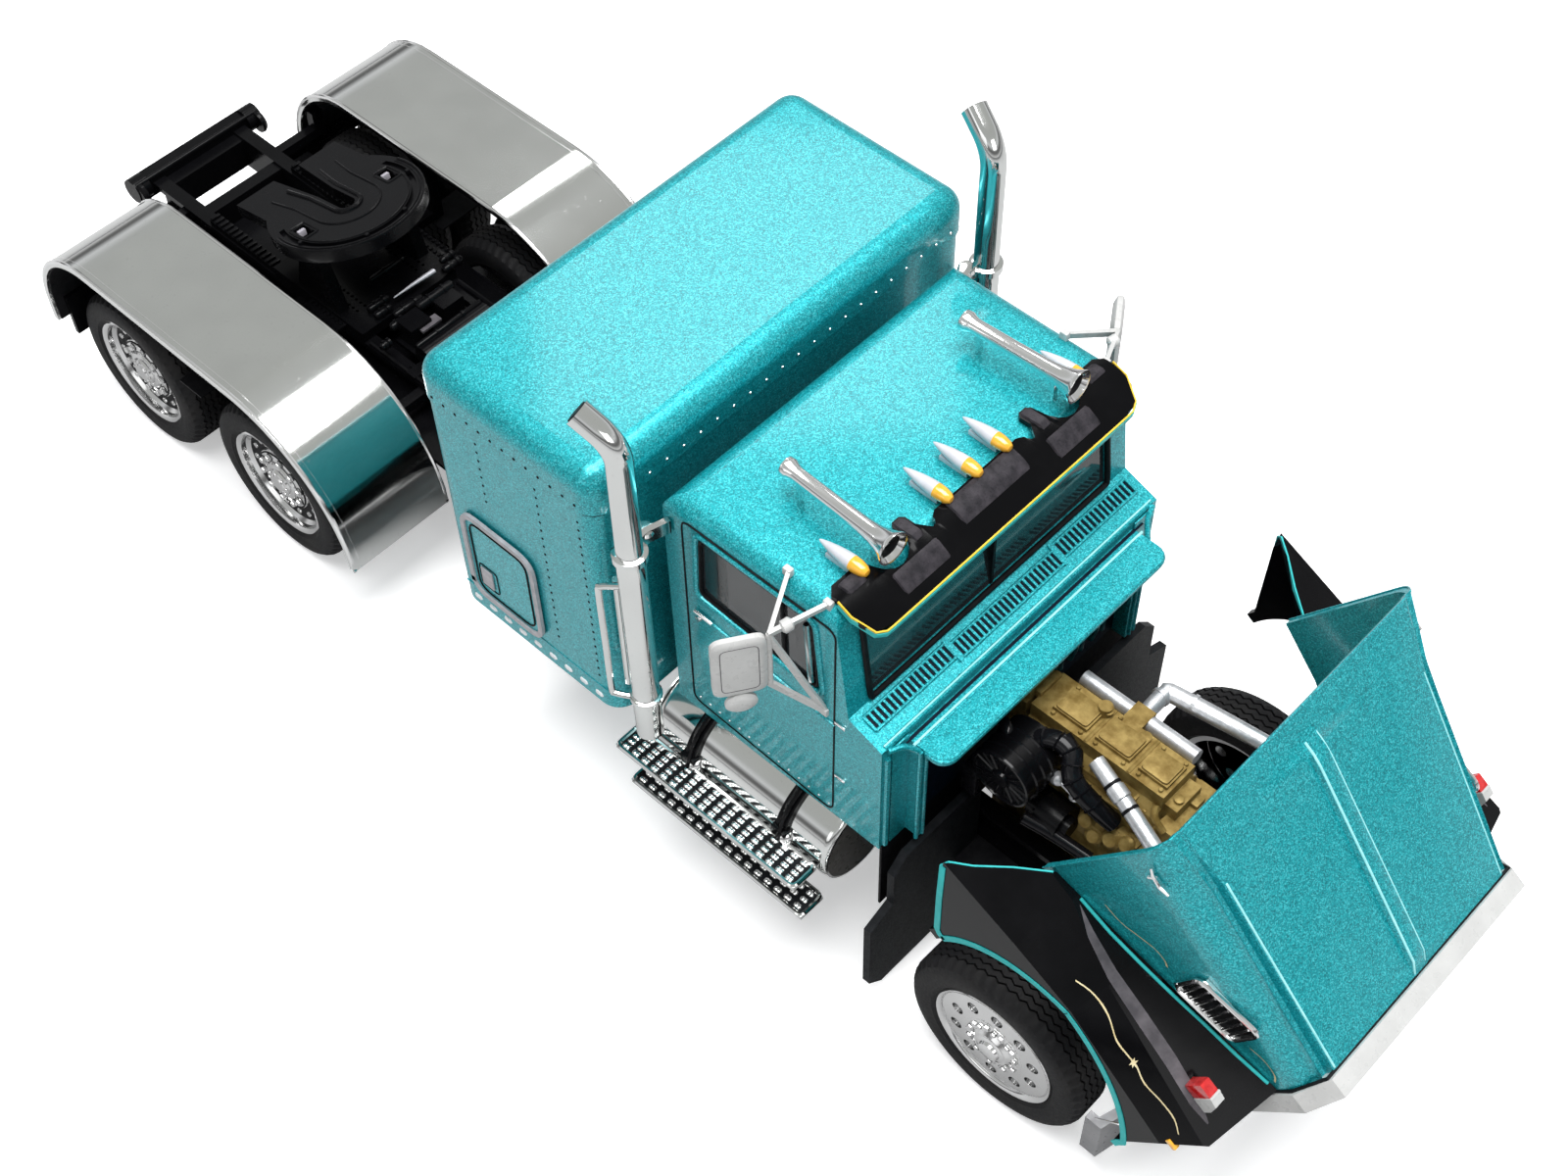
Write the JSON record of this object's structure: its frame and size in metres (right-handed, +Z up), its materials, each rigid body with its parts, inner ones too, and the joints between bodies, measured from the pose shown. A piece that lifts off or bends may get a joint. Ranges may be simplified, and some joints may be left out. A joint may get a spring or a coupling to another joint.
{
  "type": "scale model semi truck tractor",
  "caption": "Small die-cast long-nose semi truck tractor with a flat-top sleeper, chromed rear fenders and a tilting hood shown open over its engine.",
  "frame": {"origin": "centre of the bounding box at ground level, hood open as stored", "axes": "+X forward along the truck, +Y to the driver's left, +Z up"},
  "size_m": [0.1445, 0.0458, 0.0566],
  "materials": {
    "teal_paint": "metallic flake gloss",
    "black_paint": "gloss",
    "chassis_black": "gloss",
    "chrome": "bright plated",
    "axle_steel": "bright",
    "tyre": "matt",
    "glass": "tinted clear",
    "interior": "matt",
    "engine_gold": "satin paint",
    "pipe_silver": "silver paint",
    "lens": "clear"
  },
  "bodies": {
    "chassis": {"sleeper_shell": "teal_paint", "cab_shell": "teal_paint", "luggage_doors": "teal_paint", "sun_visor": "black_paint", "frame": "chassis_black", "rear_light_bar": "chassis_black", "mudflap_hangers": "chassis_black", "front_suspension": "chassis_black", "mid_axle_housing": "chassis_black", "rear_axle_housing": "chassis_black", "driveshaft": "chassis_black", "fender_brackets": "chassis_black", "fifth_wheel_base": "chassis_black", "air_tanks": "chassis_black", "tank_straps": "chassis_black", "cab_boot": "chassis_black", "cab_mounts": "chassis_black", "turbo": "chassis_black", "air_cleaner": "chassis_black", "radiator": "chassis_black", "splash_panels": "chassis_black", "bumper_brackets": "chassis_black", "rear_fender_right": "chrome", "rear_fender_left": "chrome", "fuel_tank_right": "chrome", "fuel_tank_left": "chrome", "steps_right": "chrome", "steps_left": "chrome", "air_horns": "chrome", "stack_right": "chrome", "stack_left": "chrome", "mirror_right": "chrome", "mirror_left": "chrome", "front_bumper": "chrome", "fifth_wheel_pin": "axle_steel", "cab_glass": "glass", "cab_interior": "interior", "steering_wheel": "interior", "engine": "engine_gold", "charge_pipes": "pipe_silver", "roof_lamps": "pipe_silver"},
    "front_axle": {"front_wheels": "chrome", "front_tyres": "tyre", "front_axle_pin": "axle_steel"},
    "mid_axle": {"mid_wheels": "chrome", "mid_tyres": "tyre", "mid_axle_pin": "axle_steel"},
    "rear_axle": {"rear_wheels": "chrome", "rear_tyres": "tyre", "rear_axle_pin": "axle_steel"},
    "fifth_wheel": {"fifth_wheel_plate": "chassis_black"},
    "hood": {"hood_shell": "teal_paint", "hood_vents": "chrome", "front_fender_right": "black_paint", "front_fender_left": "black_paint", "marker_lamps": "lens", "grille_surround": "chrome", "grille_bars": "chrome", "headlamps": "lens", "hood_hinge": "chassis_black"}
  },
  "joints": [
    {"name": "front_axle_spin", "type": "hinge", "parent": "chassis", "child": "front_axle", "pos_m": [0.04786, 0, 0.00843], "axis": [0, 1, 0], "continuous": true},
    {"name": "mid_axle_spin", "type": "hinge", "parent": "chassis", "child": "mid_axle", "pos_m": [-0.03705, 0, 0.00843], "axis": [0, 1, 0], "continuous": true},
    {"name": "rear_axle_spin", "type": "hinge", "parent": "chassis", "child": "rear_axle", "pos_m": [-0.05765, 0, 0.00843], "axis": [0, 1, 0], "continuous": true},
    {"name": "fifth_wheel_rock", "type": "hinge", "parent": "chassis", "child": "fifth_wheel", "pos_m": [-0.04475, 0, 0.023], "axis": [0, 1, 0], "range_deg": [0, 17]},
    {"name": "hood_tilt", "type": "hinge", "parent": "chassis", "child": "hood", "pos_m": [0.06366, 0, 0.009], "axis": [0, 1, 0], "range_deg": [-35, 0]}
  ]
}
